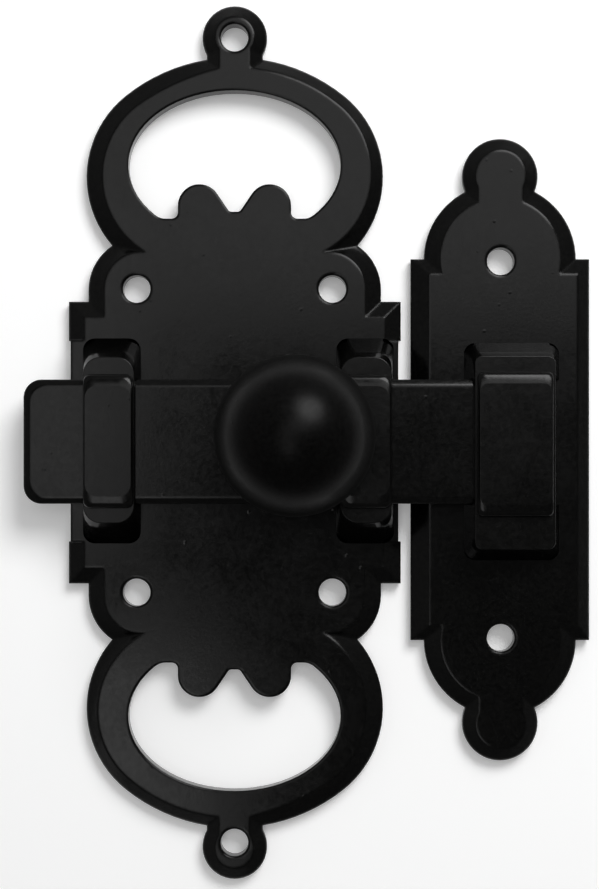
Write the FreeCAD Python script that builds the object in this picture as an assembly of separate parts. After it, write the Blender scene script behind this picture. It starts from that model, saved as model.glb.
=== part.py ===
import FreeCAD, Part
import math
import os

from FreeCAD import Vector

# A toggle bolt latch for a door: a surface slide bolt with a ball knob, in black malleable iron.
# The main plate carries two guides, the flat bar slides through them, and the bar's tip enters
# a staple on a separate keep plate, which is screwed to the frame beside the door.
#
# Frame, in millimetres: +Z runs up along the plates, +X runs from the main plate to the keep and
# the front faces -Y. The origin is the middle of the main plate on its back face, so the door
# and the frame lie in the plane Y = 0. A "height" below is a distance in front of that plane.

# ---------------------------------------------------------------- driving dimensions

# Both plates
plate_thickness = 3.5
plate_edge_height = 1.75         # square edge that is left under the bevel
screw_hole_radius = 2.4          # clearance for a No. 8 wood screw
screw_hole_rim = 0.35            # rounding of the front rim of each hole

# Main plate, measured outwards from its middle
main_bevel_width = 2.85
ring_crown_bevel_width = 2.1     # over the top of a ring
lug_bevel_width = 2.2            # round the lugs and their necks
outline_drop = 0.3               # the outline lies this much below the middle of the holes
block_half_width = 29.1
block_half_height = 24.7
block_step = 3.45                # the shoulder stands in from the block by this much
shoulder_run = 2.1               # straight side between the block and the shoulder's curve
shoulder_radius = 9.3
shoulder_overhang = 4.15         # from the shoulder's side in to the notch under the ring
ring_notch_angle = 41.0          # degrees below the ring's middle line
ring_end_radius = 18.3
ring_crown = 2.7                 # how much higher the ring is than its end radius
lug_radius = 5.65
lug_neck_half_width = 4.9
lug_neck_run = 0.9              # straight side of the neck between the ring and the lug

# Pierced opening in each ring, with two fingers of the plate rising into it
ring_side_width = 7.44
ring_top_width = 6.35
opening_rise = 1.55              # the opening's middle lies above the ring's middle
opening_floor_rise = 4.2         # above the notch
opening_pit_radius = 3.0         # where the oval runs out into the floor
opening_corner_radius = 1.1      # between the floor and a finger
finger_gap = 4.8                 # between the two fingers at their widest
finger_rise = 2.28               # from the floor to the middle of the finger's round tip
pit_floor_width = 3.1            # floor between a finger and the oval, before rounding
valley_half_width = 0.9          # flat bottom of the valley between the fingers
valley_rise = 1.2                # above the floor
valley_corner_radius = 0.8
lug_hole_inset = 0.55            # the lugs' holes are this much nearer the ring than the lug's middle
lug_hole_rise = 0.4              # both lug holes are drilled this much above the lug's middle

# Corner screw holes of the main plate
corner_hole_step = 8.55          # in from the shoulder's side
corner_hole_rise = 1.8           # above the block

# Unbevelled seat at each side of the main plate, where a guide stands
seat_inset = 0.5
seat_end_step = 0.3              # a guide's foot reaches this far past the ends of its seat

# Keep plate, measured outwards from its own middle
keep_bevel_width = 2.75
keep_bevel_left = 3.1            # down the side that faces the main plate
keep_bevel_right = 2.2
keep_finial_bevel_width = 2.2
keep_gap = 1.75                  # between the two plates
keep_half_width = 15.65
keep_half_height = 33.4
keep_middle_z = -1.55
keep_ear_step = 2.35              # the end dome stands in from the body by this much
keep_finial_radius = 6.6
keep_neck_half_width = 6.1
keep_neck_run = 0.15             # straight side of the neck between the dome and the finial
keep_hole_drop = 0.5             # the holes are drilled this much below the dome's middle

# Bolt bar
bolt_middle_z = -0.3
bar_width = 21.4
bar_thickness = 5.0
bar_tail_reach = 7.1             # past the side of the main plate
bar_corner_radius = 3.1
bar_bevel_width = 1.0            # of the low bevel round the bar's front
bar_bevel_depth = 0.45
bar_bevel_round = 0.3            # where the bevel meets the front
bar_back_round = 0.3
bar_back_clearance = 0.1         # between the bar and the plate under it
slot_side_clearance = 0.25
slot_front_clearance = 0.2

# Guides on the main plate
guide_left_margin = 2.65         # from the side of the main plate to the guide's foot
guide_right_margin = 1.25
guide_width = 8.8                # across the ledges
guide_draft = 0.65               # each side is this much wider at the plate
guide_ledge_height = 6.4         # above the plate
guide_crown_height = 1.6         # the raised crown stands this much above the ledges
guide_crown_overlap = 0.75       # the crown reaches this far past the bar's edge
guide_ledge_top = 3.0            # length of each ledge beside the crown
guide_ledge_bottom = 2.5
guide_slope = 3.7                # length of each end slope at the plate
guide_crown_inset = 0.15         # the crown is this much narrower at each side
guide_foot_corner_radius = 2.1   # at the plate
guide_ledge_corner_radius = 2.8
guide_crown_corner_radius = 1.2  # of the crown's sides
guide_face_corner_radius = 2.1   # of the crown's flat face

# Staple on the keep plate
staple_offset = 1.85             # from the keep's middle line, away from the main plate
staple_width = 13.8
staple_draft = 1.4
staple_ledge_top = 2.75
staple_ledge_bottom = 5.6
staple_slope_top = 2.7
staple_slope_bottom = 2.1
staple_crown_overlap_top = 1.2
staple_crown_overlap_bottom = 2.2
staple_crown_inset = 0.45
staple_foot_corner_radius = 2.0
staple_ledge_corner_radius = 1.3
staple_crown_corner_radius = 0.9
staple_face_corner_radius = 1.4

# Edges of the guides and the staple
ledge_round = 0.7
crown_bevel_end = 1.6            # length of the low bevel at each end of a crown
crown_bevel_side = 0.4           # width of the steeper one along its sides
crown_bevel_depth = 0.75
crown_bevel_round = 0.25         # where the bevels meet the crown's flat face

# Ball knob on the bar
knob_radius = 13.3
knob_rise = 0.5                  # the knob's screw is this much above the bar's middle line
knob_neck_height = 3.5           # from the bar's front to the lowest point of the ball
knob_neck_radius = 4.6
knob_neck_fillet = 1.0           # at both ends of the neck
knob_foot_radius = 7.3
knob_foot_height = 1.2
knob_foot_round = 0.5
knob_stop_clearance = 0.4        # between the knob's foot and a guide, where the bar stops

# Countersunk machine screws: small ones under the guides and the staple, one under the knob
small_screw_radius = 1.5
small_screw_head_radius = 2.8
small_screw_reach = 4.0          # into the guide or the staple
small_screw_inset = 2.2          # from the slot's side to the screw's axis
knob_screw_radius = 2.5
knob_screw_head_radius = 4.4
knob_screw_reach = 9.0           # into the knob
screw_head_rim = 0.25            # straight rim of a screw head
screw_head_recess = 0.15         # the head lies this far below the face
screw_slot_width = 0.8
screw_slot_depth = 0.8
screw_clearance = 0.04
screw_hole_end_room = 0.5        # a blind hole is this much deeper than its screw

# Bow spring under the bar, trapped in a pocket of the main plate
spring_length = 27.0
spring_width = 8.0
spring_thickness = 0.5
spring_pocket_depth = 1.3
spring_pocket_clearance = 0.4
spring_running_clearance = 0.05

cut_margin = 5.0                 # how far a cutting body runs past the face that it opens
same_place = 1e-3                # points and edges closer than this are taken as one
smooth_joint = 0.9999            # cosine of the turn between two runs that join smoothly

# ---------------------------------------------------------------- sizes worked out from them

shoulder_half_width = block_half_width - block_step
notch_x = shoulder_half_width - shoulder_overhang
shoulder_middle = (shoulder_half_width - shoulder_radius, block_half_height + shoulder_run)
notch_z = shoulder_middle[1] + math.sqrt(
    shoulder_radius**2 - (shoulder_radius - shoulder_overhang) ** 2)

ring_turn = math.radians(ring_notch_angle)
ring_end_middle = (
    notch_x - ring_end_radius * math.cos(ring_turn),
    notch_z + ring_end_radius * math.sin(ring_turn))
ring_half_width = ring_end_middle[0] + ring_end_radius
ring_half_height = ring_end_radius + ring_crown
ring_middle_z = ring_end_middle[1]
ring_top_z = ring_middle_z + ring_half_height
ring_top_radius = (
    ring_end_middle[0] ** 2 + ring_half_height**2 - ring_end_radius**2) / (2 * ring_crown)
ring_top_middle = (0.0, ring_top_z - ring_top_radius)
lug_neck_foot = (
    lug_neck_half_width,
    ring_top_middle[1] + math.sqrt(ring_top_radius**2 - lug_neck_half_width**2))
lug_neck_top = (lug_neck_half_width, lug_neck_foot[1] + lug_neck_run)
lug_middle_z = lug_neck_top[1] + math.sqrt(lug_radius**2 - lug_neck_half_width**2)

opening_half_width = ring_half_width - ring_side_width
opening_middle_z = ring_middle_z + opening_rise
opening_half_height = ring_top_z - ring_top_width - opening_middle_z
opening_floor_z = notch_z + opening_floor_rise
opening_foot_x = opening_half_width * math.sqrt(
    1 - ((opening_middle_z - opening_floor_z) / opening_half_height) ** 2)
finger_outer_x = opening_foot_x - pit_floor_width
finger_radius = (finger_outer_x - finger_gap / 2) / 2
finger_middle_x = finger_outer_x - finger_radius

lug_hole_z = lug_middle_z - lug_hole_inset
lug_hole_middle_z = lug_hole_rise - outline_drop
corner_hole_x = shoulder_half_width - corner_hole_step
corner_hole_z = block_half_height + corner_hole_rise

bar_back_height = plate_thickness + bar_back_clearance
bar_front_height = bar_back_height + bar_thickness
slot_half_width = bar_width / 2 + slot_side_clearance
slot_height = bar_front_height + slot_front_clearance
ledge_height = plate_thickness + guide_ledge_height
crown_height = ledge_height + guide_crown_height

guide_foot_half_width = guide_width / 2 + guide_draft
guide_foot_low_z = bolt_middle_z - (
    bar_width / 2 + guide_crown_overlap + guide_ledge_bottom + guide_slope)
guide_foot_high_z = bolt_middle_z + (
    bar_width / 2 + guide_crown_overlap + guide_ledge_top + guide_slope)
guide_left_x = guide_left_margin + guide_foot_half_width - block_half_width
guide_right_x = block_half_width - guide_right_margin - guide_foot_half_width

keep_middle_x = block_half_width + keep_gap + keep_half_width
keep_hole_z = keep_half_height - keep_hole_drop
staple_x = keep_middle_x + staple_offset

# The knob's foot comes to rest against the right guide, and the bar draws back until the foot
# meets the left guide. The bar's tip is then level with the side of the main plate.
guide_side_at_bar = guide_width / 2 + guide_draft * (
    1 - (bar_front_height - plate_thickness) / guide_ledge_height)
knob_room = knob_foot_radius + knob_stop_clearance
knob_x = guide_right_x - guide_side_at_bar - knob_room
knob_axis = (knob_x, bolt_middle_z + knob_rise)
bolt_travel = knob_x - knob_room - (guide_left_x + guide_side_at_bar)
bar_tip_x = block_half_width + bolt_travel
bar_tail_x = -block_half_width - bar_tail_reach

spring_middle_x = (guide_left_x + guide_right_x) / 2


# ---------------------------------------------------------------- flat geometry
# A plate's outline is a list of runs, walked clockwise as seen from the front. A run is
# (start, end, centre): the centre is None for a straight run, and arcs are under half a turn.

def flipped(point, along_x, along_z):
    return None if point is None else (point[0] * along_x, point[1] * along_z)


def reversed_runs(runs, along_x, along_z):
    """The same runs walked the other way, mirrored in the axis that has the factor -1."""
    return [
        (flipped(end, along_x, along_z), flipped(start, along_x, along_z),
         flipped(centre, along_x, along_z))
        for start, end, centre in reversed(runs)]


def full_outline(quarter):
    """A closed outline from its upper right quarter, walked from the top to the side."""
    right = quarter + reversed_runs(quarter, 1, -1)
    return right + reversed_runs(right, -1, 1)


def turns_clockwise(run):
    start, end, centre = run
    cross = ((start[0] - centre[0]) * (end[1] - centre[1])
             - (end[0] - centre[0]) * (start[1] - centre[1]))
    return cross < 0


def inward(run, point):
    """Unit vector from a point of the run into the plate."""
    start, end, centre = run
    if centre is None:
        step = (end[0] - start[0], end[1] - start[1])
        length = math.hypot(*step)
        return (step[1] / length, -step[0] / length)
    way = (centre[0] - point[0], centre[1] - point[1])
    length = math.hypot(*way)
    sign = 1 if turns_clockwise(run) else -1
    return (sign * way[0] / length, sign * way[1] / length)


def moved(point, way, distance):
    return (point[0] + way[0] * distance, point[1] + way[1] * distance)


def inset_radius(run, width):
    """Radius of an arc after it has moved into the plate."""
    radius = math.dist(run[0], run[2])
    return radius - width if turns_clockwise(run) else radius + width


def line_crossings(run, width, other, other_width):
    """Where a moved straight run crosses another moved run."""
    base = moved(run[0], inward(run, run[0]), width)
    length = math.dist(run[0], run[1])
    along = ((run[1][0] - run[0][0]) / length, (run[1][1] - run[0][1]) / length)
    if other[2] is None:
        normal = inward(other, other[0])
        target = moved(other[0], normal, other_width)
        gap = (target[0] - base[0]) * normal[0] + (target[1] - base[1]) * normal[1]
        return [moved(base, along, gap / (along[0] * normal[0] + along[1] * normal[1]))]
    to_centre = (other[2][0] - base[0], other[2][1] - base[1])
    reach = to_centre[0] * along[0] + to_centre[1] * along[1]
    off = to_centre[0] * along[1] - to_centre[1] * along[0]
    half = math.sqrt(inset_radius(other, other_width) ** 2 - off**2)
    return [moved(base, along, reach - half), moved(base, along, reach + half)]


def arc_crossings(run, width, other, other_width):
    """Where two moved arcs cross."""
    first = inset_radius(run, width)
    second = inset_radius(other, other_width)
    apart = math.dist(run[2], other[2])
    along = ((other[2][0] - run[2][0]) / apart, (other[2][1] - run[2][1]) / apart)
    reach = (first**2 - second**2 + apart**2) / (2 * apart)
    half = math.sqrt(first**2 - reach**2)
    base = moved(run[2], along, reach)
    across = (-along[1], along[0])
    return [moved(base, across, half), moved(base, across, -half)]


def inset_corner(before, before_width, after, after_width):
    """The corner between two runs after both have moved into the plate."""
    corner = after[0]
    first = inward(before, corner)
    second = inward(after, corner)
    if first[0] * second[0] + first[1] * second[1] > smooth_joint:
        return moved(corner, first, before_width)
    if before[2] is None:
        crossings = line_crossings(before, before_width, after, after_width)
    elif after[2] is None:
        crossings = line_crossings(after, after_width, before, before_width)
    else:
        crossings = arc_crossings(before, before_width, after, after_width)
    return min(crossings, key=lambda point: math.dist(point, corner))


def inset(outline, width_of):
    """The outline moved into the plate, each run by its own width, with mitred corners."""
    corners = [
        inset_corner(outline[index - 1], width_of(outline[index - 1]), run, width_of(run))
        for index, run in enumerate(outline)]
    return [
        (corners[index], corners[(index + 1) % len(outline)], run[2])
        for index, run in enumerate(outline)]


# ---------------------------------------------------------------- solids

def at(point, height):
    """A point of the plate's plane, lifted to a height in front of the door."""
    return Vector(point[0], -height, point[1])


def run_edge(run, height):
    start, end, centre = run
    if centre is None:
        return Part.makeLine(at(start, height), at(end, height))
    radius = math.dist(start, centre)
    chord = ((start[0] + end[0]) / 2 - centre[0], (start[1] + end[1]) / 2 - centre[1])
    half_way = moved(centre, chord, radius / math.hypot(*chord))
    return Part.Arc(at(start, height), at(half_way, height), at(end, height)).toShape()


def outline_wire(outline, height):
    return Part.Wire([run_edge(run, height) for run in outline])


def prism(wire, depth):
    """The wire's face pushed out towards the front."""
    return Part.Face(wire).extrude(Vector(0, -depth, 0))


def block(low_x, high_x, low_z, high_z, low_height, high_height):
    size = (high_x - low_x, high_height - low_height, high_z - low_z)
    return Part.makeBox(*size, Vector(low_x, -high_height, low_z))


def rod(point, radius, low_height, high_height):
    return Part.makeCylinder(
        radius, high_height - low_height, at(point, low_height), Vector(0, -1, 0))


def rounded_wire(low_x, high_x, low_z, high_z, radius, height):
    """A rectangle with round corners, walked clockwise as seen from the front."""
    left, right = low_x + radius, high_x - radius
    bottom, top = low_z + radius, high_z - radius
    return outline_wire([
        ((left, high_z), (right, high_z), None),
        ((right, high_z), (high_x, top), (right, top)),
        ((high_x, top), (high_x, bottom), None),
        ((high_x, bottom), (right, low_z), (right, bottom)),
        ((right, low_z), (left, low_z), None),
        ((left, low_z), (low_x, bottom), (left, bottom)),
        ((low_x, bottom), (low_x, top), None),
        ((low_x, top), (left, high_z), (left, top))], height)


def edges_through(shape, points):
    """The edges that run from back to front through the given points of the plate's plane."""
    found = []
    for edge in shape.Edges:
        first, last = edge.Vertexes[0].Point, edge.Vertexes[-1].Point
        if math.dist((first.x, first.z), (last.x, last.z)) > same_place:
            continue
        if any(math.dist((first.x, first.z), point) < same_place for point in points):
            found.append(edge)
    return found


def flat_edges_at(shape, height):
    """The edges that lie wholly at one height."""
    return [
        edge for edge in shape.Edges
        if abs(edge.BoundBox.YMin + height) < same_place
        and abs(edge.BoundBox.YMax + height) < same_place]


def bevelled_plate(outline, bevel_width_of):
    foot = prism(outline_wire(outline, 0.0), plate_edge_height)
    bevel = Part.makeLoft(
        [outline_wire(outline, plate_edge_height),
         outline_wire(inset(outline, bevel_width_of), plate_thickness)], True, True)
    return foot.fuse(bevel).removeSplitter()


def bevelled_slab(span_x, span_z, corners, heights, depth, side_width, end_width):
    """A block with a low bevel round its front.

    The corner radii are those of its sides and of its front face.
    """
    (low_x, high_x), (low_z, high_z) = span_x, span_z
    corner, front_corner = corners
    back_height, front_height = heights
    edge_height = front_height - depth
    slab = prism(
        rounded_wire(low_x, high_x, low_z, high_z, corner, back_height),
        edge_height - back_height)
    bevel = Part.makeLoft(
        [rounded_wire(low_x, high_x, low_z, high_z, corner, edge_height),
         rounded_wire(low_x + side_width, high_x - side_width,
                      low_z + end_width, high_z - end_width, front_corner, front_height)],
        True, True)
    return slab.fuse(bevel).removeSplitter()


def with_screw_holes(plate, points):
    for point in points:
        plate = plate.cut(rod(point, screw_hole_radius, -cut_margin, plate_thickness + cut_margin))
    rims = [edge for edge in flat_edges_at(plate, plate_thickness) if edge.isClosed()]
    return plate.makeFillet(screw_hole_rim, rims)


def moved_runs(runs, shift_x, shift_z):
    shift = (shift_x, shift_z)
    return [
        tuple(None if point is None else (point[0] + shift[0], point[1] + shift[1])
              for point in run) for run in runs]


def countersunk_screw(point, face_height, radius, head_radius, reach_height, clearance=0.0):
    """A countersunk screw driven from the back, or with a clearance the hole that takes it."""
    head_bottom = face_height + (0.0 if clearance else screw_head_recess)
    cone_start = face_height + screw_head_recess + screw_head_rim
    cone_height = head_radius - radius
    head = rod(point, head_radius + clearance, head_bottom, cone_start)
    cone = Part.makeCone(
        head_radius + clearance, radius + clearance, cone_height,
        at(point, cone_start), Vector(0, -1, 0))
    shank = rod(point, radius + clearance, cone_start, reach_height)
    return head.fuse([cone, shank]).removeSplitter()


def screw_slot(point, head_radius, face_height):
    low = face_height - cut_margin
    high = face_height + screw_head_recess + screw_slot_depth
    return block(
        point[0] - head_radius - cut_margin, point[0] + head_radius + cut_margin,
        point[1] - screw_slot_width / 2, point[1] + screw_slot_width / 2, low, high)


def small_screw(point):
    screw = countersunk_screw(
        point, 0.0, small_screw_radius, small_screw_head_radius,
        plate_thickness + small_screw_reach)
    return screw.cut(screw_slot(point, small_screw_head_radius, 0.0))


def small_screw_hole(point):
    return countersunk_screw(
        point, 0.0, small_screw_radius, small_screw_head_radius,
        plate_thickness + small_screw_reach + screw_hole_end_room, screw_clearance)


def strap_screw_points(middle_x):
    """Axes of the two screws that hold a guide or the staple from behind."""
    reach = slot_half_width + small_screw_inset
    return [(middle_x, bolt_middle_z + reach), (middle_x, bolt_middle_z - reach)]


def strap(middle_x, width, draft, overlaps, ledges, slopes, crown_inset, corners, crown_corners):
    """A cast strap over the bar: drafted feet, a ledge at each end and a raised crown between.

    The overlaps, ledges and slopes are given for the upper end and then the lower one, and the
    corner radii for the back and then the front.
    """
    half = width / 2
    crown_half = half - crown_inset
    crown_high = bolt_middle_z + bar_width / 2 + overlaps[0]
    crown_low = bolt_middle_z - bar_width / 2 - overlaps[1]
    ledge_high = crown_high + ledges[0]
    ledge_low = crown_low - ledges[1]
    base = rounded_wire(
        middle_x - half - draft, middle_x + half + draft,
        ledge_low - slopes[1], ledge_high + slopes[0], corners[0], plate_thickness)
    shelf = rounded_wire(
        middle_x - half, middle_x + half, ledge_low, ledge_high, corners[1], ledge_height)
    body = Part.makeLoft([base, shelf], True, True)
    body = body.makeFillet(ledge_round, flat_edges_at(body, ledge_height))
    crown = bevelled_slab(
        (middle_x - crown_half, middle_x + crown_half), (crown_low, crown_high), crown_corners,
        (slot_height, crown_height), crown_bevel_depth, crown_bevel_side, crown_bevel_end)
    crown = crown.makeFillet(crown_bevel_round, flat_edges_at(crown, crown_height))
    slot = block(
        middle_x - width - draft, middle_x + width + draft,
        bolt_middle_z - slot_half_width, bolt_middle_z + slot_half_width,
        plate_thickness - cut_margin, slot_height)
    solid = body.fuse(crown).cut(slot)
    for point in strap_screw_points(middle_x):
        solid = solid.cut(small_screw_hole(point))
    return solid.removeSplitter()


# ---------------------------------------------------------------- main plate

def main_outline():
    reach = math.dist(ring_top_middle, ring_end_middle)
    ring_join = moved(
        ring_top_middle,
        ((ring_end_middle[0] - ring_top_middle[0]) / reach,
         (ring_end_middle[1] - ring_top_middle[1]) / reach), ring_top_radius)
    lug_middle = (0.0, lug_middle_z)
    lug_top = (0.0, lug_middle_z + lug_radius)
    notch = (notch_x, notch_z)
    shoulder_end = (shoulder_half_width, shoulder_middle[1])
    step_inner = (shoulder_half_width, block_half_height)
    step_outer = (block_half_width, block_half_height)
    quarter = [
        (lug_top, lug_neck_top, lug_middle),
        (lug_neck_top, lug_neck_foot, None),
        (lug_neck_foot, ring_join, ring_top_middle),
        (ring_join, notch, ring_end_middle),
        (notch, shoulder_end, shoulder_middle),
        (shoulder_end, step_inner, None),
        (step_inner, step_outer, None),
        (step_outer, (block_half_width, 0.0), None)]
    return full_outline(quarter)


def finger():
    """The right-hand finger of the plate that rises into the upper opening."""
    middle = (finger_middle_x, opening_floor_z + finger_rise)
    root_z = opening_floor_z - cut_margin
    valley = (valley_half_width, opening_floor_z + valley_rise)
    to_valley = math.atan2(valley[1] - middle[1], valley[0] - middle[0]) + 2 * math.pi
    touch_turn = to_valley - math.acos(finger_radius / math.dist(middle, valley))
    touch = moved(middle, (math.cos(touch_turn), math.sin(touch_turn)), finger_radius)
    tip = moved(middle, (math.cos(touch_turn / 2), math.sin(touch_turn / 2)), finger_radius)
    outer_top = (finger_outer_x, middle[1])
    root_outer = (finger_outer_x, root_z)
    root_inner = (valley_half_width, root_z)
    return Part.Wire([
        Part.makeLine(at(root_outer, 0), at(outer_top, 0)),
        Part.Arc(at(outer_top, 0), at(tip, 0), at(touch, 0)).toShape(),
        Part.makeLine(at(touch, 0), at(valley, 0)),
        Part.makeLine(at(valley, 0), at(root_inner, 0)),
        Part.makeLine(at(root_inner, 0), at(root_outer, 0))])


def upper_opening():
    """The body of air in the upper ring."""
    wall = plate_thickness + 2 * cut_margin
    oval = Part.Ellipse(
        Vector(0, 0, 0), opening_half_width, opening_half_height).toShape()
    oval.rotate(Vector(0, 0, 0), Vector(1, 0, 0), 90)
    oval.translate(Vector(0, 0, opening_middle_z))
    air = prism(Part.Wire(oval), wall)
    floor_low_z = opening_floor_z - ring_half_height
    valley_z = opening_floor_z + valley_rise
    floor = block(
        -ring_half_width, ring_half_width, floor_low_z, opening_floor_z, 0, wall)
    valley_floor = block(-finger_middle_x, finger_middle_x, floor_low_z, valley_z, 0, wall)
    right = prism(finger(), wall)
    left = right.mirror(Vector(0, 0, 0), Vector(1, 0, 0))
    air = air.cut(floor).cut(valley_floor).cut(right).cut(left)
    corners = [(side * finger_outer_x, opening_floor_z) for side in (-1, 1)]
    pits = [(side * opening_foot_x, opening_floor_z) for side in (-1, 1)]
    valleys = [(side * valley_half_width, valley_z) for side in (-1, 1)]
    air = air.makeFillet(opening_corner_radius, edges_through(air, corners))
    air = air.makeFillet(opening_pit_radius, edges_through(air, pits))
    air = air.makeFillet(valley_corner_radius, edges_through(air, valleys))
    air.translate(Vector(0, cut_margin, 0))
    return air


def guide_seats(plate):
    """The sides of the plate where the bevel stops and the guides stand on a flat seat."""
    low_z = guide_foot_low_z + seat_end_step
    high_z = guide_foot_high_z - seat_end_step
    seat_x = block_half_width - seat_inset
    inner_x = block_half_width - 2 * main_bevel_width
    for side in (-1, 1):
        outside = sorted((side * seat_x, side * (block_half_width + cut_margin)))
        pad = sorted((side * inner_x, side * seat_x))
        plate = plate.cut(block(
            *outside, low_z, high_z, -cut_margin, plate_thickness + cut_margin))
        plate = plate.fuse(block(*pad, low_z, high_z, 0, plate_thickness))
    return plate.removeSplitter()


def spring_pocket():
    half_length = spring_length / 2 + spring_pocket_clearance
    half_width = spring_width / 2 + spring_pocket_clearance
    return block(
        spring_middle_x - half_length, spring_middle_x + half_length,
        bolt_middle_z - half_width, bolt_middle_z + half_width,
        plate_thickness - spring_pocket_depth, plate_thickness + cut_margin)


def corner_hole_points():
    return [(x, z) for x in (-corner_hole_x, corner_hole_x)
            for z in (-corner_hole_z, corner_hole_z)]


def main_bevel(run):
    """The main plate's bevel is narrower over the rings' tops and round the lugs."""
    (_, start_z), (_, end_z), centre = run
    nearest = min(abs(start_z + outline_drop), abs(end_z + outline_drop))
    if nearest > lug_neck_foot[1] - same_place:
        return lug_bevel_width
    if centre is not None and abs(centre[0]) < same_place:
        return ring_crown_bevel_width
    return main_bevel_width


def make_backplate():
    outline = moved_runs(main_outline(), 0.0, -outline_drop)
    plate = guide_seats(bevelled_plate(outline, main_bevel))
    opening = upper_opening()
    plate = plate.cut(opening)
    plate = plate.cut(opening.mirror(Vector(0, 0, 0), Vector(0, 0, 1)))
    plate = plate.cut(spring_pocket())
    lug_holes = [(0.0, side * lug_hole_z + lug_hole_middle_z) for side in (-1, 1)]
    plate = with_screw_holes(plate, corner_hole_points() + lug_holes)
    for guide_x in (guide_left_x, guide_right_x):
        for point in strap_screw_points(guide_x):
            plate = plate.cut(small_screw_hole(point))
    return plate


# ---------------------------------------------------------------- keep plate

def keep_outline():
    dome_radius = keep_half_width - keep_ear_step
    dome_middle = (0.0, keep_half_height)
    neck_rise = math.sqrt(dome_radius**2 - keep_neck_half_width**2)
    neck_foot = (keep_neck_half_width, keep_half_height + neck_rise)
    neck_top = (keep_neck_half_width, neck_foot[1] + keep_neck_run)
    finial_rise = math.sqrt(keep_finial_radius**2 - keep_neck_half_width**2)
    finial_middle = (0.0, neck_top[1] + finial_rise)
    finial_top = (0.0, finial_middle[1] + keep_finial_radius)
    dome_foot = (dome_radius, keep_half_height)
    ear = (keep_half_width, keep_half_height)
    quarter = [
        (finial_top, neck_top, finial_middle),
        (neck_top, neck_foot, None),
        (neck_foot, dome_foot, dome_middle),
        (dome_foot, ear, None),
        (ear, (keep_half_width, 0.0), None)]
    return full_outline(quarter)


def keep_bevel(run):
    """The keep's bevel has its own width down each side, and is narrower round the finials."""
    (start_x, start_z), (end_x, end_z), centre = run
    if centre is None and abs(start_x - end_x) < same_place:
        if abs(start_x - keep_middle_x) > keep_half_width - same_place:
            return keep_bevel_left if start_x < keep_middle_x else keep_bevel_right
        return keep_finial_bevel_width
    if max(abs(start_x - keep_middle_x), abs(end_x - keep_middle_x)) > (
            keep_neck_half_width + same_place):
        return keep_bevel_width
    return keep_finial_bevel_width


def make_keep_plate():
    outline = moved_runs(keep_outline(), keep_middle_x, keep_middle_z)
    plate = bevelled_plate(outline, keep_bevel)
    holes = [(keep_middle_x, keep_middle_z + side * keep_hole_z) for side in (-1, 1)]
    plate = with_screw_holes(plate, holes)
    for point in strap_screw_points(staple_x):
        plate = plate.cut(small_screw_hole(point))
    return plate


# ---------------------------------------------------------------- guides and staple

def make_guide(middle_x):
    return strap(
        middle_x, guide_width, guide_draft, (guide_crown_overlap, guide_crown_overlap),
        (guide_ledge_top, guide_ledge_bottom), (guide_slope, guide_slope),
        guide_crown_inset, (guide_foot_corner_radius, guide_ledge_corner_radius),
        (guide_crown_corner_radius, guide_face_corner_radius))


def make_keep_staple():
    return strap(
        staple_x, staple_width, staple_draft,
        (staple_crown_overlap_top, staple_crown_overlap_bottom),
        (staple_ledge_top, staple_ledge_bottom), (staple_slope_top, staple_slope_bottom),
        staple_crown_inset, (staple_foot_corner_radius, staple_ledge_corner_radius),
        (staple_crown_corner_radius, staple_face_corner_radius))


# ---------------------------------------------------------------- bolt bar, knob and spring

def knob_screw_hole():
    return countersunk_screw(
        knob_axis, bar_back_height, knob_screw_radius, knob_screw_head_radius,
        bar_front_height + knob_screw_reach + screw_hole_end_room, screw_clearance)


def make_bolt_bar():
    low_z = bolt_middle_z - bar_width / 2
    high_z = bolt_middle_z + bar_width / 2
    bar = bevelled_slab(
        (bar_tail_x, bar_tip_x), (low_z, high_z), (bar_corner_radius, bar_corner_radius),
        (bar_back_height, bar_front_height), bar_bevel_depth, bar_bevel_width, bar_bevel_width)
    bar = bar.makeFillet(bar_bevel_round, flat_edges_at(bar, bar_front_height))
    bar = bar.makeFillet(bar_back_round, flat_edges_at(bar, bar_back_height))
    return bar.cut(knob_screw_hole())


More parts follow.
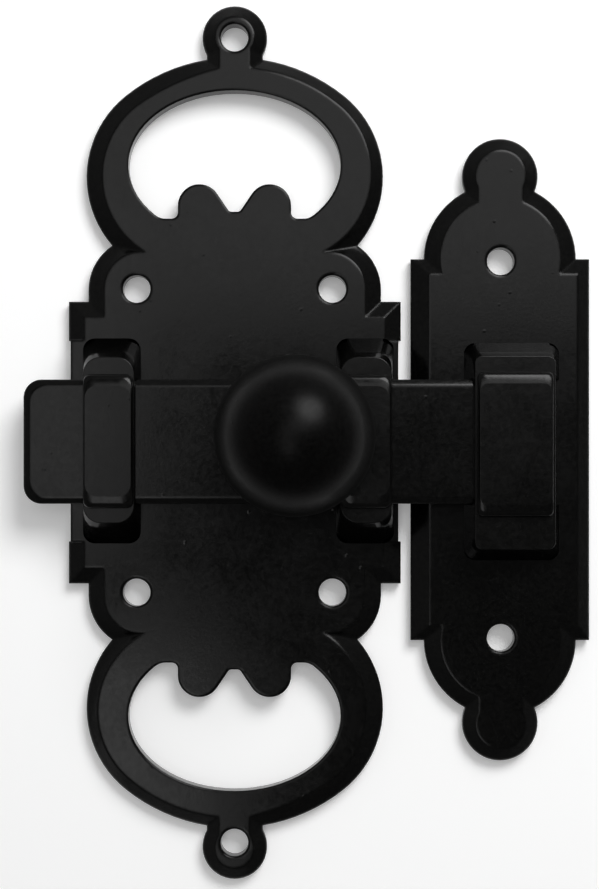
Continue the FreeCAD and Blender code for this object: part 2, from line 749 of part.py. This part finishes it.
def make_knob():
    """A ball on a short neck and a round foot, turned about the screw's axis."""
    ball_height = bar_front_height + knob_neck_height + knob_radius
    foot_top = bar_front_height + knob_foot_height
    foot_edge = knob_foot_radius - knob_foot_round
    round_bottom = foot_top - knob_foot_round
    lower_fillet = (knob_neck_radius + knob_neck_fillet, foot_top + knob_neck_fillet)
    reach = knob_radius + knob_neck_fillet
    upper_fillet = (
        lower_fillet[0], ball_height - math.sqrt(reach**2 - lower_fillet[0] ** 2))
    ball = (0.0, ball_height)
    ball_foot = moved(
        ball, (upper_fillet[0] / reach, (upper_fillet[1] - ball_height) / reach), knob_radius)

    def place(point):
        return Vector(knob_x + point[0], -point[1], knob_axis[1])

    def line(start, end):
        return Part.makeLine(place(start), place(end))

    def arc(start, end, centre, radius):
        chord = ((start[0] + end[0]) / 2 - centre[0], (start[1] + end[1]) / 2 - centre[1])
        half_way = moved(centre, chord, radius / math.hypot(*chord))
        return Part.Arc(place(start), place(half_way), place(end)).toShape()

    profile = Part.Wire([
        line((0.0, bar_front_height), (knob_foot_radius, bar_front_height)),
        line((knob_foot_radius, bar_front_height), (knob_foot_radius, round_bottom)),
        arc((knob_foot_radius, round_bottom), (foot_edge, foot_top),
            (foot_edge, round_bottom), knob_foot_round),
        line((foot_edge, foot_top), (lower_fillet[0], foot_top)),
        arc((lower_fillet[0], foot_top), (knob_neck_radius, lower_fillet[1]),
            lower_fillet, knob_neck_fillet),
        line((knob_neck_radius, lower_fillet[1]), (knob_neck_radius, upper_fillet[1])),
        arc((knob_neck_radius, upper_fillet[1]), ball_foot, upper_fillet, knob_neck_fillet),
        arc(ball_foot, (knob_radius, ball_height), ball, knob_radius),
        arc((knob_radius, ball_height), (0.0, ball_height + knob_radius), ball, knob_radius),
        line((0.0, ball_height + knob_radius), (0.0, bar_front_height))])
    turned = Part.Face(profile).revolve(place((0, 0)), Vector(0, 1, 0), 360)
    return turned.cut(knob_screw_hole())


def make_knob_screw():
    screw = countersunk_screw(
        knob_axis, bar_back_height, knob_screw_radius, knob_screw_head_radius,
        bar_front_height + knob_screw_reach)
    return screw.cut(screw_slot(knob_axis, knob_screw_head_radius, bar_back_height))


def make_bolt_spring():
    """A bowed steel leaf: its ends stand in the pocket and its middle bears on the bar."""
    floor_height = plate_thickness - spring_pocket_depth
    top_height = bar_back_height - spring_running_clearance
    bow = top_height - spring_thickness - floor_height
    half = spring_length / 2
    radius = (half**2 + bow**2) / (2 * bow)
    centre = (spring_middle_x, floor_height + bow - radius)
    low_z = bolt_middle_z - spring_width / 2

    def on_arc(arc_radius, turn):
        x = centre[0] + arc_radius * math.sin(turn)
        height = centre[1] + arc_radius * math.cos(turn)
        return Vector(x, -height, low_z)

    turn = math.asin(half / radius)
    outer = radius + spring_thickness
    profile = Part.Wire([
        Part.Arc(on_arc(radius, -turn), on_arc(radius, 0), on_arc(radius, turn)).toShape(),
        Part.makeLine(on_arc(radius, turn), on_arc(outer, turn)),
        Part.Arc(on_arc(outer, turn), on_arc(outer, 0), on_arc(outer, -turn)).toShape(),
        Part.makeLine(on_arc(outer, -turn), on_arc(radius, -turn))])
    return Part.Face(profile).extrude(Vector(0, 0, spring_width))


# ---------------------------------------------------------------- all pieces

def make_pieces():
    pieces = {
        "backplate": make_backplate(),
        "guide_left": make_guide(guide_left_x),
        "guide_right": make_guide(guide_right_x),
        "bolt_spring": make_bolt_spring(),
        "bolt_bar": make_bolt_bar(),
        "knob": make_knob(),
        "knob_screw": make_knob_screw(),
        "keep_plate": make_keep_plate(),
        "keep_staple": make_keep_staple(),
    }
    straps = {"guide_left": guide_left_x, "guide_right": guide_right_x, "keep_staple": staple_x}
    for name, middle_x in straps.items():
        upper, lower = strap_screw_points(middle_x)
        pieces[f"{name}_screw_upper"] = small_screw(upper)
        pieces[f"{name}_screw_lower"] = small_screw(lower)
    return pieces


def save(pieces):
    os.makedirs("parts", exist_ok=True)
    for name, shape in pieces.items():
        solids = shape.Solids
        box = shape.optimalBoundingBox()
        print(f"{name}: {len(solids)} solid, valid {shape.isValid()}, {shape.Volume:.1f} mm3,",
              f"x {box.XMin:.2f} to {box.XMax:.2f}, y {box.YMin:.2f} to {box.YMax:.2f},",
              f"z {box.ZMin:.2f} to {box.ZMax:.2f}")
        solid = solids[0] if len(solids) == 1 else shape
        solid.exportStep(f"parts/{name}.step")
    print(f"bolt travel {bolt_travel:.3f} mm, bar tip at x {bar_tip_x:.3f}, knob at x {knob_x:.3f}")


save(make_pieces())
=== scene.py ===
import math

import bmesh
import bpy
from mathutils import Matrix, Vector


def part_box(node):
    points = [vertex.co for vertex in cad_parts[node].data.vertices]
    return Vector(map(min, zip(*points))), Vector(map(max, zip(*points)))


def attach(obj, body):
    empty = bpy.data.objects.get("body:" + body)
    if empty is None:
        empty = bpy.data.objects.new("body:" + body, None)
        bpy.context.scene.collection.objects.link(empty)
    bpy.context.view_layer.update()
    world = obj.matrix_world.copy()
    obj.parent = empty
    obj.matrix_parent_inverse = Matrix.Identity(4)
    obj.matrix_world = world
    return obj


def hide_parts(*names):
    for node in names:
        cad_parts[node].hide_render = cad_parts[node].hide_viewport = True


MM = 0.001

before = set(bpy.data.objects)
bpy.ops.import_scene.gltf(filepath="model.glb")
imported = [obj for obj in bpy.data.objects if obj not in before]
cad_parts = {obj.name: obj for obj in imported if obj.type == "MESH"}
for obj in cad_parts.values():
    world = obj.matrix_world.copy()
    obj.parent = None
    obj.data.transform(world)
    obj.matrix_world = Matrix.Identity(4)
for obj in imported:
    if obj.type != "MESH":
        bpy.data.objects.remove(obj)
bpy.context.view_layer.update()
scene = bpy.context.scene


# ---------------------------------------------------------------- finishes

class Finish:
    """A node material under construction, with short calls for the nodes that it needs."""

    def __init__(self, name):
        self.material = bpy.data.materials.new(name)
        self.material.use_nodes = True
        self.nodes = self.material.node_tree.nodes
        self.links = self.material.node_tree.links
        self.nodes.clear()
        self.place = self.nodes.new("ShaderNodeTexCoord").outputs["Object"]
        self.shader = self.nodes.new("ShaderNodeBsdfPrincipled")
        output = self.nodes.new("ShaderNodeOutputMaterial")
        self.links.new(self.shader.outputs["BSDF"], output.inputs["Surface"])

    def noise(self, size, detail=2.0, roughness=0.5, distortion=0.0):
        """Soft mottling whose patches are about this size in metres."""
        node = self.nodes.new("ShaderNodeTexNoise")
        node.inputs["Scale"].default_value = 1.0 / size
        node.inputs["Detail"].default_value = detail
        node.inputs["Roughness"].default_value = roughness
        node.inputs["Distortion"].default_value = distortion
        self.links.new(self.place, node.inputs["Vector"])
        return node.outputs["Fac"]

    def specks(self, size, radius):
        """1 at scattered specks of this radius, spaced about size apart, and 0 between them."""
        node = self.nodes.new("ShaderNodeTexVoronoi")
        node.inputs["Scale"].default_value = 1.0 / size
        self.links.new(self.place, node.inputs["Vector"])
        return self.span(node.outputs["Distance"], radius / size, 0.0, 0.0, 1.0)

    def span(self, value, low, high, to_low, to_high):
        node = self.nodes.new("ShaderNodeMapRange")
        node.inputs["From Min"].default_value = low
        node.inputs["From Max"].default_value = high
        node.inputs["To Min"].default_value = to_low
        node.inputs["To Max"].default_value = to_high
        self.links.new(value, node.inputs["Value"])
        return node.outputs["Result"]

    def math(self, operation, first, second):
        node = self.nodes.new("ShaderNodeMath")
        node.operation = operation
        for socket, value in zip(node.inputs, (first, second)):
            if isinstance(value, (int, float)):
                socket.default_value = value
            else:
                self.links.new(value, socket)
        return node.outputs["Value"]

    def colour(self, value, stops):
        """Base colour that runs between two (position, (red, green, blue)) stops."""
        node = self.nodes.new("ShaderNodeValToRGB")
        for stop, (position, colour) in zip(node.color_ramp.elements, stops):
            stop.position = position
            stop.color = (*colour, 1.0)
        self.links.new(value, node.inputs["Fac"])
        self.links.new(node.outputs["Color"], self.shader.inputs["Base Color"])

    def roughness(self, value):
        self.links.new(value, self.shader.inputs["Roughness"])

    def relief(self, layers, edge=None):
        """Bumps, each as (height value, height in metres), on edges softened to a radius."""
        normal = None
        if edge:
            bevel = self.nodes.new("ShaderNodeBevel")
            bevel.samples = 8
            bevel.inputs["Radius"].default_value = edge
            normal = bevel.outputs["Normal"]
        for value, height in layers:
            bump = self.nodes.new("ShaderNodeBump")
            bump.inputs["Distance"].default_value = height
            self.links.new(value, bump.inputs["Height"])
            if normal:
                self.links.new(normal, bump.inputs["Normal"])
            normal = bump.outputs["Normal"]
        self.links.new(normal, self.shader.inputs["Normal"])

    def set(self, **sockets):
        for name, value in sockets.items():
            self.shader.inputs[name.replace("_", " ")].default_value = value


def black_paint(name, edge, gloss, rough, matt_rim=0.0):
    """Satin black paint over edges rounded to a radius, or left as modelled with None.

    A matt rim is how much rougher the paint gets where it turns away.
    """
    finish = Finish(name)
    mottle = finish.noise(9 * MM, detail=3.0)
    orange_peel = finish.noise(8 * MM, detail=0.0)
    nibs = finish.specks(5 * MM, 0.35 * MM)
    grain = finish.noise(0.5 * MM, detail=2.0)
    finish.colour(
        finish.noise(0.6 * MM, detail=4.0, roughness=0.7),
        [(0.35, (0.0003, 0.0003, 0.0003)), (0.65, (0.0028, 0.0028, 0.0026))])
    roughness = finish.math(
        "ADD", finish.span(mottle, 0.3, 0.7, rough - 0.05, rough),
        finish.span(finish.noise(0.8 * MM, detail=1.0), 0.3, 0.7, 0.0, 0.05))
    if matt_rim:
        turned = finish.nodes.new("ShaderNodeLayerWeight").outputs["Facing"]
        roughness = finish.math(
            "ADD", roughness, finish.span(turned, 0.47, 0.75, 0.0, matt_rim))
    finish.roughness(roughness)
    finish.relief(
        [(orange_peel, 0.01 * MM), (nibs, 0.03 * MM), (grain, 0.004 * MM)], edge=edge)
    finish.set(Specular_IOR_Level=gloss)
    return finish.material


def plain_steel(name, colour):
    finish = Finish(name)
    wear = finish.noise(1.5 * MM, detail=3.0)
    finish.colour(wear, [(0.3, tuple(0.8 * part for part in colour)), (0.7, colour)])
    finish.roughness(finish.span(wear, 0.3, 0.7, 0.3, 0.45))
    finish.relief([(finish.noise(0.3 * MM), 0.004 * MM)])
    finish.set(Metallic=1.0)
    return finish.material


paint = black_paint("black_paint", 0.7 * MM, 0.19, 0.16)
strap_paint = black_paint("strap_paint", None, 0.19, 0.19)
knob_paint = black_paint("knob_paint", None, 0.08, 0.32, matt_rim=0.7)
zinc = plain_steel("screw_zinc", (0.62, 0.62, 0.6))
spring = plain_steel("spring_leaf", (0.45, 0.45, 0.46))
by_slot = {"black_casting": paint, "screw_steel": zinc, "spring_steel": spring}
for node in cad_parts.values():
    for material_slot in node.material_slots:
        material_slot.material = by_slot[material_slot.material.name]


# ---------------------------------------------------------------- cast straps and turned knob

SHARP = math.radians(35)


def finished(name, mesh, material, body, node):
    """The painted casting that this mesh makes, in place of its CAD node."""
    bmesh.ops.recalc_face_normals(mesh, faces=mesh.faces)
    for face in mesh.faces:
        face.smooth = True
    for edge in mesh.edges:
        edge.smooth = edge.calc_face_angle(0.0) < SHARP
    data = bpy.data.meshes.new(name)
    mesh.to_mesh(data)
    mesh.free()
    data.materials.append(material)
    piece = bpy.data.objects.new(name, data)
    scene.collection.objects.link(piece)
    piece.modifiers.new("true_flats", "WEIGHTED_NORMAL")
    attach(piece, body)
    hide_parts(node)
    return piece


def cross_section(mesh, depth, span_x, span_z, corner):
    """The outline edges of a round-cornered face that stands upright at this depth."""
    known = set(mesh.faces)
    corners = bmesh.ops.create_grid(mesh, x_segments=1, y_segments=1, size=0.5)["verts"]
    bmesh.ops.rotate(
        mesh, verts=corners, cent=(0, 0, 0), matrix=Matrix.Rotation(math.pi / 2, 3, "X"))
    bmesh.ops.scale(
        mesh, verts=corners, vec=(span_x[1] - span_x[0], 1, span_z[1] - span_z[0]))
    bmesh.ops.translate(
        mesh, verts=corners, vec=(sum(span_x) / 2, depth, sum(span_z) / 2))
    bmesh.ops.bevel(
        mesh, geom=corners, offset=corner, offset_type="OFFSET", segments=8, profile=0.5,
        affect="VERTICES", material=-1)
    face = next(face for face in mesh.faces if face not in known)
    return face, list(face.edges)


def cast_block(sections, rim):
    """A closed block through these cross sections, with its front edge rounded."""
    mesh = bmesh.new()
    faces, outlines = zip(*[cross_section(mesh, *section) for section in sections])
    for back, front in zip(outlines, outlines[1:]):
        bmesh.ops.bridge_loops(mesh, edges=back + front)
    bmesh.ops.delete(mesh, geom=list(faces[1:-1]), context="FACES_ONLY")
    bmesh.ops.bevel(
        mesh, geom=outlines[-1], offset=rim, offset_type="OFFSET", segments=4, profile=0.5,
        affect="EDGES", material=-1)
    return mesh


def cut_tunnel(mesh, low_z, high_z, front_y):
    """A straight tunnel for the bar, open at both sides and at the back."""
    for point, facing in (
            ((0, 0, low_z), (0, 0, 1)), ((0, 0, high_z), (0, 0, 1)), ((0, front_y, 0), (0, 1, 0))):
        bmesh.ops.bisect_plane(
            mesh, geom=mesh.verts[:] + mesh.edges[:] + mesh.faces[:], plane_co=point,
            plane_no=facing)
    inside = []
    for face in mesh.faces:
        middle = face.calc_center_median()
        if low_z < middle.z < high_z and middle.y > front_y:
            inside.append(face)
    bmesh.ops.delete(mesh, geom=inside, context="FACES")
    side_slope = 2 * MM
    arches = [
        edge for edge in mesh.edges
        if edge.is_boundary and abs(edge.verts[0].co.x - edge.verts[1].co.x) < side_slope]
    bmesh.ops.bridge_loops(mesh, edges=arches)


def add_to(whole, part):
    """Put the part's shell into the whole mesh, and free the part."""
    data = bpy.data.meshes.new("part")
    part.to_mesh(data)
    part.free()
    whole.from_mesh(data)
    bpy.data.meshes.remove(data)


def strap(node, body, draft, slopes, ledges, corners, crown_inset, crown_corners, rims):
    """A cast strap over the bar: a base with sloped ends, and a crown that stands on it.

    Slopes and ledges are pairs of lengths, for the upper end and the lower one. Corners and
    crown corners are radii at the back and at the front of their block.
    """
    low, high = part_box(node)
    bar_low, bar_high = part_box("bolt_bar")
    bar_gap = 0.2 * MM
    crown_rise = 1.6 * MM
    crown_root = 0.4 * MM
    ledge_front = low.y + crown_rise
    ledge_x = (low.x + draft, high.x - draft)
    ledge_z = (low.z + slopes[1], high.z - slopes[0])
    crown_x = (ledge_x[0] + crown_inset, ledge_x[1] - crown_inset)
    crown_z = (ledge_z[0] + ledges[1], ledge_z[1] - ledges[0])

    def crown(depth, side_fall, end_fall, corner):
        """The crown's cross section at this depth behind its face."""
        return (
            low.y + depth, (crown_x[0] + side_fall, crown_x[1] - side_fall),
            (crown_z[0] + end_fall, crown_z[1] - end_fall), corner)

    mesh = cast_block([
        (high.y, (low.x, high.x), (low.z, high.z), corners[0]),
        (ledge_front, ledge_x, ledge_z, corners[1])], rims[0])
    cut_tunnel(mesh, bar_low.z - bar_gap, bar_high.z + bar_gap, bar_low.y - bar_gap)
    add_to(mesh, cast_block([
        crown(crown_rise + crown_root, 0, 0, crown_corners[0]),
        crown(0.75 * MM, 0, 0, crown_corners[0]),
        crown(0.35 * MM, 0.05 * MM, 0.25 * MM, crown_corners[0]),
        crown(0.12 * MM, 0.1 * MM, 0.9 * MM, crown_corners[1]),
        crown(0, 0.3 * MM, 2.0 * MM, crown_corners[1])], rims[1]))
    return finished(node + "_casting", mesh, strap_paint, body, node)


def knob():
    """A ball on a short neck and a round foot, turned about its own axis.

    The profile gives the foot's radius at each height above the bar, in millimetres.
    """
    low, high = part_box("knob")
    radius = (high.x - low.x) / 2
    middle = Vector(((low.x + high.x) / 2, low.y + radius, (low.z + high.z) / 2))
    neck = 4.6 * MM
    profile = (
        (4.6, 2.6), (4.7, 1.9), (5.0, 1.5), (5.6, 1.25), (6.7, 1.2), (7.05, 1.12),
        (7.24, 0.95), (7.3, 0.7), (7.3, 0.0))
    mesh = bmesh.new()
    bmesh.ops.create_uvsphere(mesh, u_segments=96, v_segments=64, radius=radius)
    bmesh.ops.rotate(
        mesh, verts=mesh.verts, cent=(0, 0, 0), matrix=Matrix.Rotation(math.pi / 2, 3, "X"))
    bmesh.ops.translate(mesh, verts=mesh.verts, vec=middle)
    bmesh.ops.bisect_plane(
        mesh, geom=mesh.verts[:] + mesh.edges[:] + mesh.faces[:], plane_no=(0, 1, 0),
        plane_co=middle + Vector((0, math.sqrt(radius**2 - neck**2), 0)), clear_outer=True)
    ring = [edge for edge in mesh.edges if edge.is_boundary]
    ring_radius, foot = neck, high.y
    for next_radius, height in profile:
        grown = bmesh.ops.extrude_edge_only(mesh, edges=ring)["geom"]
        ring = [part for part in grown if isinstance(part, bmesh.types.BMEdge)]
        verts = [part for part in grown if isinstance(part, bmesh.types.BMVert)]
        growth = next_radius * MM / ring_radius
        bmesh.ops.scale(
            mesh, verts=verts, vec=(growth, 1, growth), space=Matrix.Translation(-middle))
        bmesh.ops.translate(
            mesh, verts=verts, vec=(0, foot - height * MM - verts[0].co.y, 0))
        ring_radius = next_radius * MM
    bmesh.ops.holes_fill(mesh, edges=ring)
    return finished("knob_turning", mesh, knob_paint, "bolt", "knob")


def guide(node):
    """One of the two straps that the bar slides through."""
    return strap(
        node, "fixed_plates", draft=0.65 * MM, slopes=(3.7 * MM, 3.7 * MM),
        ledges=(3.0 * MM, 2.5 * MM), corners=(2.1 * MM, 3.0 * MM), crown_inset=0.15 * MM,
        crown_corners=(1.2 * MM, 2.1 * MM), rims=(0.12 * MM, 0.05 * MM))


guide("guide_left")
guide("guide_right")
strap(
    "keep_staple", "fixed_plates", draft=1.4 * MM, slopes=(2.7 * MM, 2.1 * MM),
    ledges=(2.75 * MM, 5.6 * MM), corners=(2.0 * MM, 1.3 * MM), crown_inset=0.45 * MM,
    crown_corners=(0.9 * MM, 1.4 * MM), rims=(0.12 * MM, 0.05 * MM))
knob()


# ---------------------------------------------------------------- wall, lamps and camera

def lamp(name, shape, middle, towards, width, height, radiance):
    """A flat lamp whose face has this radiance, so its power follows its area."""
    data = bpy.data.lights.new(name, "AREA")
    data.shape = shape
    data.size, data.size_y = width, height
    area = width * height * (math.pi / 4 if shape == "ELLIPSE" else 1.0)
    data.energy = radiance * math.pi * area
    piece = bpy.data.objects.new(name, data)
    scene.collection.objects.link(piece)
    piece.location = middle
    piece.rotation_mode = "QUATERNION"
    piece.rotation_quaternion = (Vector(towards) - Vector(middle)).to_track_quat("-Z", "Y")
    piece.visible_camera = False
    return piece


def flat_sheet(name, middle, half_size, material):
    """A flat sheet that faces the front of the latch."""
    mesh = bmesh.new()
    bmesh.ops.create_grid(mesh, x_segments=1, y_segments=1, size=half_size)
    bmesh.ops.rotate(
        mesh, verts=mesh.verts, cent=(0, 0, 0),
        matrix=Matrix.Rotation(math.pi / 2, 3, "X"))
    bmesh.ops.translate(mesh, verts=mesh.verts, vec=middle)
    data = bpy.data.meshes.new(name)
    mesh.to_mesh(data)
    mesh.free()
    data.materials.append(material)
    piece = bpy.data.objects.new(name, data)
    scene.collection.objects.link(piece)
    return piece


def matt_paint(name, shade):
    material = bpy.data.materials.new(name)
    material.use_nodes = True
    shader = material.node_tree.nodes["Principled BSDF"]
    shader.inputs["Base Color"].default_value = (shade, shade, shade, 1)
    shader.inputs["Roughness"].default_value = 1.0
    shader.inputs["Specular IOR Level"].default_value = 0.0
    return material


def wall_paint(wall_lift):
    """White paint that is see-through from behind and lifted a little for the eye and in gloss."""
    material = matt_paint("wall_paint", 0.95)
    nodes, links = material.node_tree.nodes, material.node_tree.links
    shader = nodes["Principled BSDF"]
    path = nodes.new("ShaderNodeLightPath")
    seen = nodes.new("ShaderNodeMath")
    seen.operation = "MAXIMUM"
    links.new(path.outputs["Is Camera Ray"], seen.inputs[0])
    links.new(path.outputs["Is Glossy Ray"], seen.inputs[1])
    seen_through = nodes.new("ShaderNodeMath")
    seen_through.operation = "MAXIMUM"
    links.new(seen.outputs[0], seen_through.inputs[0])
    links.new(path.outputs["Is Transmission Ray"], seen_through.inputs[1])
    lift = nodes.new("ShaderNodeMath")
    lift.operation = "MULTIPLY"
    lift.inputs[1].default_value = wall_lift
    links.new(seen_through.outputs[0], lift.inputs[0])
    shader.inputs["Emission Color"].default_value = (1, 1, 1, 1)
    links.new(lift.outputs[0], shader.inputs["Emission Strength"])
    clear = nodes.new("ShaderNodeBsdfTransparent")
    mix = nodes.new("ShaderNodeMixShader")
    side = nodes.new("ShaderNodeNewGeometry")
    links.new(side.outputs["Backfacing"], mix.inputs[0])
    links.new(shader.outputs[0], mix.inputs[1])
    links.new(clear.outputs[0], mix.inputs[2])
    links.new(mix.outputs[0], nodes["Material Output"].inputs["Surface"])
    return material


def room(low, high, left_gain):
    """A grey room, paler overhead than below and paler on the left than on the right."""
    world = bpy.data.worlds.new("room")
    world.use_nodes = True
    nodes, links = world.node_tree.nodes, world.node_tree.links
    parts = nodes.new("ShaderNodeSeparateXYZ")
    links.new(nodes.new("ShaderNodeTexCoord").outputs["Generated"], parts.inputs[0])
    rise = nodes.new("ShaderNodeMapRange")
    rise.inputs["From Min"].default_value = -1.0
    rise.inputs["To Min"].default_value = low
    rise.inputs["To Max"].default_value = high
    links.new(parts.outputs["Z"], rise.inputs["Value"])
    side = nodes.new("ShaderNodeMath")
    side.operation = "MULTIPLY_ADD"
    side.inputs[1].default_value = -left_gain
    links.new(parts.outputs["X"], side.inputs[0])
    links.new(rise.outputs["Result"], side.inputs[2])
    links.new(side.outputs[0], nodes["Background"].inputs["Strength"])
    nodes["Background"].inputs["Color"].default_value = (1, 1, 1, 1)
    return world


wall_gap = 0.6 * MM
flat_sheet("wall", (0.01, wall_gap, 0), 0.3, wall_paint(wall_lift=0.2))
card = flat_sheet("dark_card", (0.05, -1.3, 0.0), 0.75, matt_paint("card_paint", 0.4))
card.visible_camera = False

panel_distance = 1.2
for name, x, z, width, height, radiance in (
        ("left_panel", -0.24, 0.09, 0.26, 0.29, 1.76),
        ("low_panel", -0.18, -0.355, 0.25, 0.47, 2.6),
        ("top_panel", 0.13, 0.29, 0.68, 0.34, 1.76)):
    lamp(name, "RECTANGLE", (x, -panel_distance, z), (x, 0.0, z), width, height, radiance)
lamp("key", "ELLIPSE", (0.202, -0.441, 0.334), (0.01, -0.025, 0.0), 0.33, 0.33, 9.4)

scene.world = room(0.12, 0.33, 0.04)

plate_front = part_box("backplate")[0].y
view_distance = 0.36
view_height = 0.15519

camera_data = bpy.data.cameras.new("camera")
camera = bpy.data.objects.new("camera", camera_data)
scene.collection.objects.link(camera)
camera_data.sensor_width = 36.0
camera_data.lens = camera_data.sensor_width * view_distance / view_height
camera_data.shift_y = 0.0557
camera.location = (0.01135, plate_front - view_distance, -0.00932)
camera.rotation_euler = (math.pi / 2, 0, 0)
camera_data.clip_start, camera_data.clip_end = 0.01, 10.0
scene.camera = camera

scene.view_settings.view_transform = "Standard"
